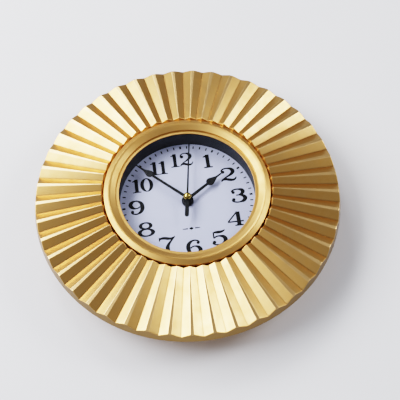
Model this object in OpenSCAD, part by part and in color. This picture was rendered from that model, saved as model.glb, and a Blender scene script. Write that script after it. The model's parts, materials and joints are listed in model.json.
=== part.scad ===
// Sunburst wall clock, as it hangs: +Z towards twelve o'clock, the dial faces -Y,
// the wall is the plane y = 0 and the origin is the centre of the hanger eye.
// Inside the modules the clock lies on its back: x right, y towards twelve, z away from the wall,
// with the hands' axis at x = y = 0. hung() stands the finished piece up.

/* [Sunburst frame] */
// Overall diameter over the rim
frame_d = 250; // [200:1:320]
// Number of folds round the frame
folds = 45; // [36:1:72]
// Radius where the folds begin
fold_in_r = 69.3; // [69.2:0.1:71]
// Height of the ridges above the dial at the inner end
ridge_in_z = 21.8; // [20.5:0.1:26]
// Height of the valleys above the dial at the inner end
valley_in_z = 18.7; // [16:0.1:20]
// Height of the ridges above the dial at the rim
ridge_out_z = 15.3; // [14.5:0.1:20]
// Height of the valleys above the dial at the rim
valley_out_z = 11.9; // [9:0.1:14]
// Height of the rim's rear edge above the dial
rim_z = 5.9; // [3:0.1:6.4]
// Wall of the moulded frame
shell_t = 1.8; // [1.2:0.1:3]
// Turn of the folds past twelve o'clock, in degrees
fold_turn = 1.2; // [0:0.1:8]

/* [Bezel and lens] */
// Outer radius of the bezel
bezel_r = 67.5; // [67:0.1:67.8]
// Radius of the bezel's crest
crest_r = 63.5; // [62.5:0.1:64.5]
// Height of the crest above the dial
crest_z = 22.2; // [21.5:0.1:24]
// Radius of the opening over the lens
bezel_in_r = 57.8; // [57:0.1:58.4]
// Height of the bezel's inner edge above the dial
bezel_in_z = 19.6; // [19:0.1:20]
// Inner radius of the ledge over the lens
ledge_r = 55.2; // [54.5:0.1:56.5]
// Height of the ledge above the dial
ledge_z = 18.2; // [18:0.1:18.4]
// Inner radius of the black spacer ring
well_r = 56; // [55.5:0.1:57]
// Height of the spacer ring
well_z = 15.6; // [14.5:0.1:15.8]
// Thickness of the lens
lens_t = 1.7; // [1:0.1:1.8]

/* [Hands] */
// Length of the hour hand from its axis
hour_len = 40; // [34:0.5:50]
// Length of the minute hand from its axis
minute_len = 53.6; // [47:0.1:55]
// Length of the second hand from its axis
second_len = 51; // [30:0.1:55]
// Where the hour hand points, in degrees past twelve
hour_at = 56; // [0:0.1:360]
// Where the minute hand points, in degrees past twelve
minute_at = 313.5; // [0:0.1:360]
// Where the second hand points, in degrees past twelve
second_at = 8.5; // [0:0.1:360]

/* [Movement] */
// Side of the square movement case
case_w = 56; // [56:0.5:57.5]
// Depth of the movement case
case_d = 16.5; // [16.5:0.1:20]
// Height of the hanger eye above the hands' axis
eye_h = 34; // [33.5:0.5:50]
// Radius of the hanger eye
eye_r = 4; // [2.5:0.1:4.5]

/* [Hidden] */
$fn = 72;

gold = [0.83, 0.67, 0.38];
black = [0.09, 0.09, 0.1];
brass = [0.8, 0.64, 0.3];
white = [0.93, 0.93, 0.9];
steel = [0.7, 0.7, 0.72];
copper = [0.72, 0.4, 0.22];
green = [0.12, 0.4, 0.25];
dial_white = [0.86, 0.88, 0.93];

// depths measured from the wall
washer_t = 0.9;
pan_back = case_d + washer_t;
pan_t = 1.5;
dial_t = 0.5;
dial_z = pan_back + pan_t + dial_t;
pan_wall_r = bezel_r - 2.1;
pan_wall_t = 1.8;
pan_r = 82;
lens_r = bezel_in_r + 2.4;
centre_hole_r = 4.2;

// outer lip and skirt of the bezel, and the foot of its sleeve round the lens
lip_z = crest_z - 2;
skirt_t = 1.8;
sleeve_z = 12.6;

// screws of the rear pan
pan_screw_at = 76;
pan_screw_r = 1.4;
screw_gap = 0.06;
screw_angles = [45, 135, 225, 315];

// rim of the frame: the ridges end a little inside the valleys
rim_r = frame_d / 2;
collar_r = fold_in_r - 1.3;
valley_out_r = rim_r - 0.8;
ridge_out_r = rim_r - 1.7;
rim_t = 2;

// top of the screw bosses, just under the valleys
boss_top_z = valley_in_z
  + (valley_out_z - valley_in_z) * (pan_screw_at - fold_in_r) / (valley_out_r - fold_in_r) - 0.9;

// case shells
wall = 1.2;
front_wall = 1.3;
cover_floor = 1.3;
split_z = 5;
inner_top = case_d - front_wall;
corner_r = 3;

// battery bay along the foot of the case
bay_top = -11.4;
bay_wall = 0.8;
bay_w = case_w - wall;
battery_r = 7.1;
battery_len = 49.2;
battery_y = bay_top - bay_wall - battery_r - 0.2;
battery_z = battery_r + 0.5;

// shafts and tubes
run_gap = 0.06;
pivot_r = 0.35;
second_r = 0.5;
minute_r = 1.5;
minute_bore = second_r + run_gap;
hour_bore = minute_r + run_gap;
hour_r = 2.5;
post_bore = hour_r + run_gap;
post_r = 4;
knob_shaft_r = 1.2;

// hand levels above the dial
nut_h = 2.2;
cap_r = 3.25;
hour_hand_z = 3.9;
minute_hand_z = 6.4;
second_hand_z = 8.5;
hand_t = 0.45;
spade_tip = 0.9;

// wheel axes, each from the one that it meshes with
step_d = 8.4;
rotor_d = 7.5;
third_d = 8.5;
motion_d = 8.64;
step_angle = 40;
rotor_angle = 20;
third_angle = 150;
motion_angle = 205;
knob_angle = 180;
axis_0 = [0, 0];
axis_step = step_d * heading(step_angle);
axis_rotor = axis_step + rotor_d * heading(rotor_angle);
axis_third = third_d * heading(third_angle);
axis_motion = motion_d * heading(motion_angle);
axis_knob = axis_motion + motion_d * heading(knob_angle);

// tooth counts: rotor to seconds 30, seconds to centre 60, minute to hour 12
leaf_n = 6;
step_n = 36;
seconds_n = 30;
third_n = 45;
centre_n = 48;
cannon_n = 10;
motion_n = 30;
motion_leaf_n = 8;
hour_n = 32;
rotor_m = 2 * rotor_d / (leaf_n + step_n);
step_m = 2 * step_d / (leaf_n + seconds_n);
third_m = 2 * third_d / (leaf_n + third_n);
centre_m = 2 * third_d / (leaf_n + centre_n);
motion_m = 2 * motion_d / (cannon_n + motion_n);

// wheel levels from the wall
wheel_t = 0.6;
step_z = 7.2;
seconds_z = 8.7;
third_z = 9.9;
centre_z = 11.4;
motion_z = 12.4;
hour_z = 13.4;

// tooth phases that leave each pair in mesh
seconds_phase = second_phase(leaf_n, 0, seconds_n, step_angle + 180);
step_phase = second_phase(leaf_n, 0, step_n, rotor_angle + 180);
third_phase = second_phase(leaf_n, 0, third_n, third_angle);
centre_phase = second_phase(leaf_n, 0, centre_n, third_angle + 180);
motion_phase = second_phase(cannon_n, 0, motion_n, motion_angle);
hour_phase = second_phase(motion_leaf_n, 0, hour_n, motion_angle + 180);
knob_phase = second_phase(motion_n, motion_phase, cannon_n, knob_angle);

function heading(a) = [cos(a), sin(a)];

// angle of one tooth of a wheel of n2 teeth that meshes with a wheel of n1 teeth,
// which has a tooth at phase and sees the second wheel's axis at angle a
function second_phase(n1, phase, n2, a) =
  a + 180 - (360 / n2) * (0.5 - n1 * (a - phase) / 360);

function gear_ring(n, m, phase) = let (r = n * m / 2, step = 360 / n) [
  for (i = [0:n - 1], k = [0:3])
    let (up = k == 1 || k == 2, half = up ? 0.1 : 0.27, side = k < 2 ? -1 : 1)
    (r + (up ? 0.7 : -0.95) * m) * heading(phase + step * (i + side * half))
];

module hung() translate([0, 0, -eye_h]) rotate([90, 0, 0]) children();

module at(p, z = 0) translate([p[0], p[1], z]) children();

module tube(r, bore, z0, z1) translate([0, 0, z0]) difference() {
  cylinder(r = r, h = z1 - z0);
  translate([0, 0, -1]) cylinder(r = bore, h = z1 - z0 + 2);
}

module rod(r, z0, z1) translate([0, 0, z0]) cylinder(r = r, h = z1 - z0);

module gear(n, m, phase, z0, t) translate([0, 0, z0]) linear_extrude(t) polygon(gear_ring(n, m, phase));

module block(x0, x1, y0, y1, z0, z1) translate([x0, y0, z0]) cube([x1 - x0, y1 - y0, z1 - z0]);

module round_plate(w, r, z0, z1) translate([0, 0, z0]) linear_extrude(z1 - z0)
  offset(r) square(w - 2 * r, center = true);

// ---- sunburst frame ----

// section of the frame at one crease, from the inner top edge round to the collar's foot
function crease_section(ridge) = let (
  in_z = dial_z + (ridge ? ridge_in_z : valley_in_z),
  out_z = dial_z + (ridge ? ridge_out_z : valley_out_z),
  out_r = ridge ? ridge_out_r : valley_out_r,
  in_r = collar_r + shell_t + 1,
  slope = (out_z - in_z) / (out_r - fold_in_r),
  rim_in_r = rim_r - rim_t
) [
  [fold_in_r, in_z],
  [out_r, out_z],
  [rim_r, dial_z + (ridge ? ridge_out_z : valley_out_z) - 2.2],
  [rim_r, dial_z + rim_z],
  [rim_in_r, dial_z + rim_z],
  [rim_in_r, out_z + slope * (rim_in_r - out_r) - 2.4],
  [in_r, in_z + slope * shell_t - shell_t - 0.4],
  [in_r, pan_back + pan_t],
  [collar_r, pan_back + pan_t],
  [collar_r, in_z - 1.9]
];

module fold_shell() {
  n = 2 * folds;
  k = len(crease_section(true));
  points = [
    for (i = [0:n - 1], p = crease_section(i % 2 == 0))
      let (a = 90 - fold_turn - i * 180 / folds) [p[0] * cos(a), p[0] * sin(a), p[1]]
  ];
  faces = [
    for (i = [0:n - 1], j = [0:k - 1])
      let (here = i * k, next = ((i + 1) % n) * k, up = (j + 1) % k)
      each [[here + j, here + up, next + up], [here + j, next + up, next + j]]
  ];
  polyhedron(points, faces);
}

module boss_posts() for (a = screw_angles) rotate(a) translate([pan_screw_at, 0, 0]) difference() {
  rod(3.2, pan_back + pan_t, dial_z + boss_top_z);
  rod(pan_screw_r + screw_gap, pan_back, dial_z + 9);
}

module sunburst_frame() color(gold) hung() union() {
  fold_shell();
  boss_posts();
}

// ---- bezel, lens and well ----

module bezel_ring() color(gold) hung() rotate_extrude($fn = 144) translate([0, dial_z]) polygon([
  [ledge_r, well_z + lens_t + 0.1],
  [ledge_r, ledge_z],
  [bezel_in_r, ledge_z],
  [bezel_in_r, bezel_in_z - 0.5],
  [bezel_in_r + 0.5, bezel_in_z],
  [crest_r - 2.4, crest_z - 0.9],
  [crest_r - 0.9, crest_z - 0.1],
  [crest_r, crest_z],
  [crest_r + 0.9, crest_z - 0.15],
  [bezel_r - 0.6, lip_z + 0.4],
  [bezel_r, lip_z - 0.3],
  [bezel_r, -dial_t],
  [bezel_r - skirt_t, -dial_t],
  [bezel_r - skirt_t, lip_z - 2],
  [crest_r + 0.8, crest_z - 2.4],
  [crest_r - 1.4, crest_z - 2.4],
  [lens_r + 1.8, well_z + 1],
  [lens_r + 1.8, sleeve_z],
  [lens_r + 0.2, sleeve_z],
  [lens_r + 0.2, well_z + lens_t + 0.1]
]);

module lens() color([0.8, 0.9, 0.95, 0.3]) hung()
  rod(lens_r, dial_z + well_z, dial_z + well_z + lens_t);

module spacer_ring() color(black) hung() tube(well_r + 2.2, well_r, dial_z, dial_z + well_z);

module dial_plate() color(dial_white) hung() tube(well_r + 3.4, centre_hole_r, dial_z - dial_t, dial_z);

module rear_pan() color(black) hung() difference() {
  union() {
    rod(pan_r, pan_back, pan_back + pan_t);
    tube(pan_wall_r, pan_wall_r - pan_wall_t, pan_back, dial_z + 12.2);
    // rib that stiffens the pan's edge
    tube(pan_r, pan_r - 1.4, pan_back - 1.6, pan_back + 0.2);
  }
  rod(centre_hole_r, 0, 30);
  for (a = screw_angles) rotate(a) translate([pan_screw_at, 0, 0]) rod(pan_screw_r + 0.3, 0, 30);
}

module screw(shank_r, head_r, head_z, tip_z) difference() {
  union() {
    rod(shank_r, head_z, tip_z);
    translate([0, 0, head_z - head_r * 0.6]) cylinder(r1 = head_r * 0.72, r2 = head_r, h = head_r * 0.6);
  }
  for (a = [0, 90]) rotate(a) translate([0, 0, head_z - head_r * 0.6]) cube([head_r * 1.1, 0.6, 1.2], center = true);
}

module pan_screws() color(steel) hung()
  for (a = screw_angles) rotate(a) translate([pan_screw_at, 0, 0])
    screw(pan_screw_r, 2.8, pan_back, dial_z + 7);

// ---- hands ----

module spade_blade(len, spade_at, spade_w, root_w) {
  neck = spade_at - spade_w * 0.4;
  polygon([[-root_w / 2, 0], [root_w / 2, 0], [root_w * 0.4, neck], [-root_w * 0.4, neck]]);
  hull() {
    translate([0, spade_at]) circle(r = spade_w / 2, $fn = 48);
    translate([0, spade_at + spade_w * 0.95]) circle(r = spade_tip, $fn = 24);
  }
  polygon([
    [-spade_tip, spade_at + spade_w * 0.95],
    [spade_tip, spade_at + spade_w * 0.95],
    [0.4, len],
    [-0.4, len]
  ]);
}

module spade_hand(len, spade_at, spade_w, root_w, hub_r, bore, z0) difference() {
  translate([0, 0, z0]) linear_extrude(hand_t) {
    circle(r = hub_r);
    spade_blade(len, spade_at, spade_w, root_w);
  }
  rod(bore, z0 - 1, z0 + 2);
}

module hour_hand() color(black) hung() rotate(-hour_at)
  spade_hand(hour_len, 25, 7, 2.9, 3.9, hour_r, dial_z + hour_hand_z);

module minute_hand() color(black) hung() rotate(-minute_at)
  spade_hand(minute_len, 39, 6.3, 2.6, 3.6, minute_r, dial_z + minute_hand_z);

module second_hand() color(black) hung() rotate(-second_at) difference() {
  translate([0, 0, dial_z + second_hand_z]) linear_extrude(0.4) {
    circle(r = 2.4);
    polygon([[-0.8, 0], [0.8, 0], [0.55, second_len], [-0.55, second_len]]);
    hull() {
      translate([0, -1]) circle(r = 1.45, $fn = 32);
      translate([0, -17]) circle(r = 1.75, $fn = 32);
    }
  }
  rod(1.2, dial_z, dial_z + 20);
}

module hand_cap() color(brass) hung() translate([0, 0, dial_z]) difference() {
  union() {
    rod(1.2, second_hand_z - 0.9, second_hand_z + 0.5);
    rod(cap_r, second_hand_z + 0.4, second_hand_z + 0.9);
    intersection() {
      translate([0, 0, second_hand_z + 0.9]) scale([1, 1, 0.75]) sphere(r = cap_r, $fn = 64);
      rod(4, second_hand_z + 0.9, second_hand_z + 6);
    }
  }
  rod(second_r, 0, second_hand_z + 2);
}

// ---- movement case ----

module movement_case() color(black) hung() difference() {
  union() {
    difference() {
      round_plate(case_w, corner_r, split_z, case_d);
      round_plate(case_w - 2 * wall, corner_r - wall, split_z - 1, inner_top);
    }
    // wall between the wheels and the battery
    block(-bay_w / 2, bay_w / 2, bay_top - bay_wall, bay_top, cover_floor + 0.1, inner_top + 0.5);
    // centre post through the pan and the dial
    rod(post_r, inner_top - 0.6, dial_z + nut_h + 0.3);
    // bearing bosses
    at(axis_rotor) rod(1.2, 8.9, inner_top + 0.5);
    at(axis_step) rod(1.1, 14.3, inner_top + 0.5);
    at(axis_third) rod(1.1, 14.3, inner_top + 0.5);
    at(axis_knob) rod(2.2, 13.7, inner_top + 0.5);
    at(axis_motion) rod(0.8, 12.2, inner_top + 0.5);
  }
  rod(post_bore, 10, 30);
  at(axis_rotor) rod(pivot_r + run_gap, 8, 10.2);
  at(axis_step) rod(pivot_r + run_gap, 13, 15);
  at(axis_third) rod(pivot_r + run_gap, 13, 15);
  at(axis_knob) rod(knob_shaft_r + run_gap, 13, 15);
}

module cover_boss(p, r, bore, from_z, to_z) at(p) difference() {
  rod(r, cover_floor - 0.3, to_z);
  rod(bore, from_z, to_z + 1);
}

module knob_pocket() at(axis_knob) difference() {
  rod(7, 0, 4);
  rod(6, -1, 3.1);
  rod(knob_shaft_r + run_gap, 0, 6);
}

module hanger_loop() difference() {
  union() {
    rod(9, 0, 2.5);
    block(-9, 9, -eye_h + case_w / 2 - 1, 0, 0, 2.5);
  }
  rod(eye_r, -1, 4);
}

module movement_cover() color(black) hung() {
  difference() {
    union() {
      difference() {
        round_plate(case_w, corner_r, 0, split_z);
        round_plate(case_w - 2 * wall, corner_r - wall, cover_floor, split_z + 1);
      }
      translate([0, eye_h, 0]) hanger_loop();
    }
    // window of the battery bay
    block(-case_w / 2 + wall, case_w / 2 - wall, -case_w / 2 + wall, bay_top, -1, split_z + 1);
    at(axis_knob) rod(6.5, -1, 3);
  }
  knob_pocket();
  cover_boss(axis_0, 1.6, second_r + run_gap, 2, 4.2);
  cover_boss(axis_rotor, 1.1, pivot_r + run_gap, 1.8, 3);
  cover_boss(axis_step, 1.1, pivot_r + run_gap, 5, 6.6);
  cover_boss(axis_third, 1, pivot_r + run_gap, 6.4, 8);
}

module rubber_washer() color(black) hung() tube(8.5, centre_hole_r, case_d, pan_back);

// round nut with two spanner slots that clamps the dial and the pan to the movement
module post_nut() color(black) hung() difference() {
  tube(4.9, post_r + 0.02, dial_z, dial_z + nut_h);
  block(-6, 6, -0.6, 0.6, dial_z + nut_h - 0.8, dial_z + nut_h + 1);
}

// ---- battery and electrics ----

module battery() color(copper) hung() translate([-battery_len / 2, battery_y, battery_z]) rotate([0, 90, 0]) {
  cylinder(r = battery_r, h = battery_len);
  translate([0, 0, battery_len - 0.1]) cylinder(r = 2.6, h = 1.2);
}

module contact_leaf(x, z1) block(x - 0.2, x + 0.2, battery_y - 4, battery_y + 4, 3, z1);

module positive_contact() color(steel) hung() union() {
  contact_leaf(battery_len / 2 + 1.35, 13.5);
  block(battery_len / 2 + 1.15, battery_len / 2 + 1.55, battery_y, bay_top - bay_wall - 0.1, 12.5, 13.5);
}

module negative_contact() color(steel) hung() union() {
  contact_leaf(-battery_len / 2 - 1.8, 13.5);
  // flat coil that presses on the cell
  translate([-battery_len / 2 - 1.7, battery_y, battery_z]) rotate([0, 90, 0]) tube(3.4, 2.6, 0, 1.6);
}

module circuit_board() color(green) hung() block(-25.8, -3, 13.4, 26.2, 3.2, 4);

module timing_chip() color(black) hung() translate([-11, 20, 4]) intersection() {
  scale([1, 1, 0.4]) sphere(r = 3.2, $fn = 48);
  rod(4, 0, 2);
}

module quartz_crystal() color(steel) hung() translate([-24, 17, 5.1]) rotate([0, 90, 0]) cylinder(r = 1.05, h = 6.2);

// ---- motor ----

coil_x = 22;
core_z = 5.2;
core_t = 0.8;
coil_y0 = -4.5;
coil_y1 = 20.5;

module along_core(y0, y1, r)
  translate([coil_x, y1, core_z + core_t / 2]) rotate([90, 0, 0]) cylinder(r = r, h = y1 - y0);

module core_slot() block(
  coil_x - 2.05, coil_x + 2.05, coil_y0 - 2, coil_y1 + 2, core_z - 0.05, core_z + core_t + 0.05
);

module coil_bobbin() color(white) hung() difference() {
  union() {
    along_core(coil_y0, coil_y1, 2.4);
    along_core(coil_y0, coil_y0 + 0.8, 4);
    along_core(coil_y1 - 0.8, coil_y1, 4);
  }
  core_slot();
}

module coil_winding() color(copper) hung() difference() {
  along_core(coil_y0 + 0.85, coil_y1 - 0.85, 3.6);
  along_core(coil_y0, coil_y1, 2.45);
}

module coil_core() color(steel) hung() block(coil_x - 2, coil_x + 2, -9, 25, core_z, core_z + core_t);

module motor_stator() color(steel) hung() difference() {
  union() {
    block(9.5, 17.5, -9, 25, core_z - 0.8, core_z);
    block(9.5, coil_x + 2, 21.5, 25, core_z - 0.8, core_z);
    block(9.5, coil_x + 2, -9, -5.5, core_z - 0.8, core_z);
  }
  at(axis_rotor) rod(3.3, 0, 10);
}

module rotor_magnet() color([0.3, 0.3, 0.33]) hung() at(axis_rotor) tube(2.8, 0.6, 3.4, 6.2);

module rotor_pinion() color(white) hung() at(axis_rotor) union() {
  rod(pivot_r, 2, 10);
  rod(0.6, 3.3, 6.4);
  gear(leaf_n, rotor_m, 0, 6.3, 2.1);
}

// ---- wheels ----

module step_wheel() color(white) hung() at(axis_step) union() {
  rod(pivot_r, 5.2, 14.9);
  gear(step_n, rotor_m, step_phase, step_z, wheel_t);
  gear(leaf_n, step_m, 0, step_z + wheel_t, 1.9);
}

module seconds_wheel() color(white) hung() union() {
  rod(second_r, 2.2, dial_z + second_hand_z + 1.9);
  gear(seconds_n, step_m, seconds_phase, seconds_z, wheel_t);
  gear(leaf_n, third_m, 0, seconds_z + wheel_t, 1.4);
}

module third_wheel() color(white) hung() at(axis_third) union() {
  rod(pivot_r, 6.6, 14.9);
  gear(third_n, third_m, third_phase, third_z, wheel_t);
  gear(leaf_n, centre_m, 0, third_z + wheel_t, 1.6);
}

module centre_wheel() color(white) hung() difference() {
  gear(centre_n, centre_m, centre_phase, centre_z, wheel_t);
  rod(minute_r + run_gap, 0, 20);
}

module minute_tube() color(brass) hung() difference() {
  union() {
    rod(minute_r, 11, dial_z + minute_hand_z + 0.9);
    rod(2.4, 11, 11.3);
    gear(cannon_n, motion_m, 0, 12.2, 1);
  }
  rod(minute_bore, 0, 40);
}

module motion_wheel() color(white) hung() at(axis_motion) difference() {
  union() {
    gear(motion_n, motion_m, motion_phase, motion_z, 0.5);
    gear(motion_leaf_n, motion_m, 0, motion_z + 0.5, 1.3);
  }
  rod(0.8 + run_gap, 0, 20);
}

module hour_wheel() color(black) hung() difference() {
  union() {
    gear(hour_n, motion_m, hour_phase, hour_z, wheel_t);
    rod(hour_r, hour_z, dial_z + hour_hand_z + 0.9);
  }
  rod(hour_bore, 0, 40);
}

module set_knob() color(white) hung() at(axis_knob) union() {
  difference() {
    rod(5.6, 0.4, 2.8);
    for (i = [0:19]) rotate(i * 18) translate([5.9, 0, 0]) rod(0.6, 0, 3);
  }
  rod(knob_shaft_r, 2.7, 14.8);
  gear(cannon_n, motion_m, knob_phase, 12.2, 1);
}

sunburst_frame();
bezel_ring();
lens();
spacer_ring();
dial_plate();
rear_pan();
pan_screws();
hour_hand();
minute_hand();
second_hand();
hand_cap();
movement_case();
movement_cover();
rubber_washer();
post_nut();
battery();
positive_contact();
negative_contact();
circuit_board();
timing_chip();
quartz_crystal();
coil_bobbin();
coil_winding();
coil_core();
motor_stator();
rotor_magnet();
rotor_pinion();
step_wheel();
seconds_wheel();
third_wheel();
centre_wheel();
minute_tube();
motion_wheel();
hour_wheel();
set_knob();
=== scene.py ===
import json
import math

import bmesh
import bpy
from mathutils import Matrix, Vector


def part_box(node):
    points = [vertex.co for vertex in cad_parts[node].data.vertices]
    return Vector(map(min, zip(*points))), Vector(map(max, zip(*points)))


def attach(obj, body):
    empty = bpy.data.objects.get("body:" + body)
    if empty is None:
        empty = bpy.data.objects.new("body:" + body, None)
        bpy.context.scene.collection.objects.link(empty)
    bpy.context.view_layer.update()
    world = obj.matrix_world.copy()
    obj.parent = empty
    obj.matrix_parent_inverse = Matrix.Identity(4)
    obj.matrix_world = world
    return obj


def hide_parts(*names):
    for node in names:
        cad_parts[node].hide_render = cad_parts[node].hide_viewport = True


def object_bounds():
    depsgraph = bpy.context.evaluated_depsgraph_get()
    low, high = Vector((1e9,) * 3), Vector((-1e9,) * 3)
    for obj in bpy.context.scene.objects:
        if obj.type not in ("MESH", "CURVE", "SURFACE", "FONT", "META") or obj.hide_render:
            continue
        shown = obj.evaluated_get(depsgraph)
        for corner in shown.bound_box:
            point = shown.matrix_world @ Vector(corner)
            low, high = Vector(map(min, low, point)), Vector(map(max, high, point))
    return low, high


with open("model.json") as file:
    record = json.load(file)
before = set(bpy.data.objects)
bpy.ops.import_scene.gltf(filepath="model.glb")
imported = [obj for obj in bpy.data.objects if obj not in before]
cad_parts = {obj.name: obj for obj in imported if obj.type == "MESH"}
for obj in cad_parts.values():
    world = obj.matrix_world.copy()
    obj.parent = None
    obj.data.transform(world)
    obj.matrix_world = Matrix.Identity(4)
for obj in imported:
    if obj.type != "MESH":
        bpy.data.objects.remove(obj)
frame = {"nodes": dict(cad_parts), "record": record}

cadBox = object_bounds()
cadNodes = frame["nodes"]
bodyOf = {node: body for body, nodes in frame["record"]["behaviour"]["bodies"].items() for node in nodes}

# Every piece is drawn lying on its back, in millimetres from the middle of the dial's face:
# x right, y towards twelve, z towards the lens. clockPlace then hangs it on the wall.
mm = 0.001
dialLow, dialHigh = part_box("dial_plate")
dialMiddle = Vector(((dialLow.x + dialHigh.x) / 2, dialLow.y, (dialLow.z + dialHigh.z) / 2))
clockPlace = Matrix.Translation(dialMiddle) @ Matrix.Rotation(math.radians(90), 4, "X") @ Matrix.Scale(mm, 4)


# Half the width of a round CAD node.
def reach(node):
    low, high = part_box(node)
    return (high.x - low.x) / 2 / mm


# How far back and how far forward a CAD node reaches from the dial's face.
def levels(node):
    low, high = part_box(node)
    return (dialMiddle.y - high.y) / mm, (dialMiddle.y - low.y) / mm


# Camera below and in front of the dial, a little to the left, with a long lens.
view = {
    "offset": (-0.02839, -0.67782, -0.37920),
    "turn": (119.457, 7.3845, 0.8901),
    "lensMm": 84.71,
    "sensorMm": 36.0,
}
camera = bpy.data.objects.new("camera", bpy.data.cameras.new("camera"))
bpy.context.scene.collection.objects.link(camera)
camera.location = dialMiddle + Vector(view["offset"])
camera.rotation_euler = [math.radians(a) for a in view["turn"]]
camera.data.lens = view["lensMm"]
camera.data.sensor_width = view["sensorMm"]
camera.data.clip_start = 0.01
bpy.context.scene.camera = camera
bpy.context.scene.view_settings.view_transform = "Filmic"
bpy.context.scene.view_settings.look = "High Contrast"
bpy.context.scene.view_settings.exposure = 0.12
print("camera set")


def toLinear(code):
    parts = [int(code[i:i + 2], 16) / 255 for i in (1, 3, 5)]
    return [c / 12.92 if c <= 0.04045 else ((c + 0.055) / 1.055) ** 2.4 for c in parts] + [1.0]


# Adds one node to a shader or geometry tree; an input takes a value or another node's output.
def addNode(tree, kind, inputs=None, **settings):
    node = tree.nodes.new(kind)
    for name, value in settings.items():
        setattr(node, name, value)
    for socket, value in (inputs or {}).items():
        if isinstance(value, bpy.types.NodeSocket):
            tree.links.new(value, node.inputs[socket])
        else:
            node.inputs[socket].default_value = value
    return node


# A finish with mottled colour, patchy roughness and a fine grain, all scaled from real sizes in mm.
def makeFinish(name, look):
    finish = bpy.data.materials.new(name)
    finish.use_nodes = True
    tree = finish.node_tree
    shader = tree.nodes["Principled BSDF"]
    for socket, value in look.get("shader", {}).items():
        shader.inputs[socket].default_value = value
    place = addNode(tree, "ShaderNodeTexCoord").outputs["Object"]
    if "stretch" in look:
        place = addNode(tree, "ShaderNodeMapping", {"Vector": place, "Scale": look["stretch"]}).outputs[0]
    patches = addNode(tree, "ShaderNodeTexNoise", {
        "Vector": place, "Scale": 1 / (look["patchMm"] * mm), "Detail": 3.0, "Roughness": 0.55})
    tone = addNode(tree, "ShaderNodeMapRange", {
        "Value": patches.outputs[0], "From Min": 0.3, "From Max": 0.7, "To Min": 0.0, "To Max": 1.0})
    colour = addNode(tree, "ShaderNodeMix", {
        0: tone.outputs[0], 6: toLinear(look["colour"]), 7: toLinear(look["patch"])}, data_type="RGBA")
    tree.links.new(colour.outputs[2], shader.inputs["Base Color"])
    grain = addNode(tree, "ShaderNodeTexNoise", {
        "Vector": place, "Scale": 1 / (look["grainMm"] * mm), "Detail": 2.0, "Roughness": 0.5})
    gloss = addNode(tree, "ShaderNodeMapRange", {
        "Value": patches.outputs[0], "From Min": 0.3, "From Max": 0.7,
        "To Min": look["rough"][0], "To Max": look["rough"][1]})
    tree.links.new(gloss.outputs[0], shader.inputs["Roughness"])
    bump = addNode(tree, "ShaderNodeBump", {
        "Height": grain.outputs[0], "Distance": look["grainDepthMm"] * mm, "Strength": 1.0})
    tree.links.new(bump.outputs[0], shader.inputs["Normal"])
    return finish


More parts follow.
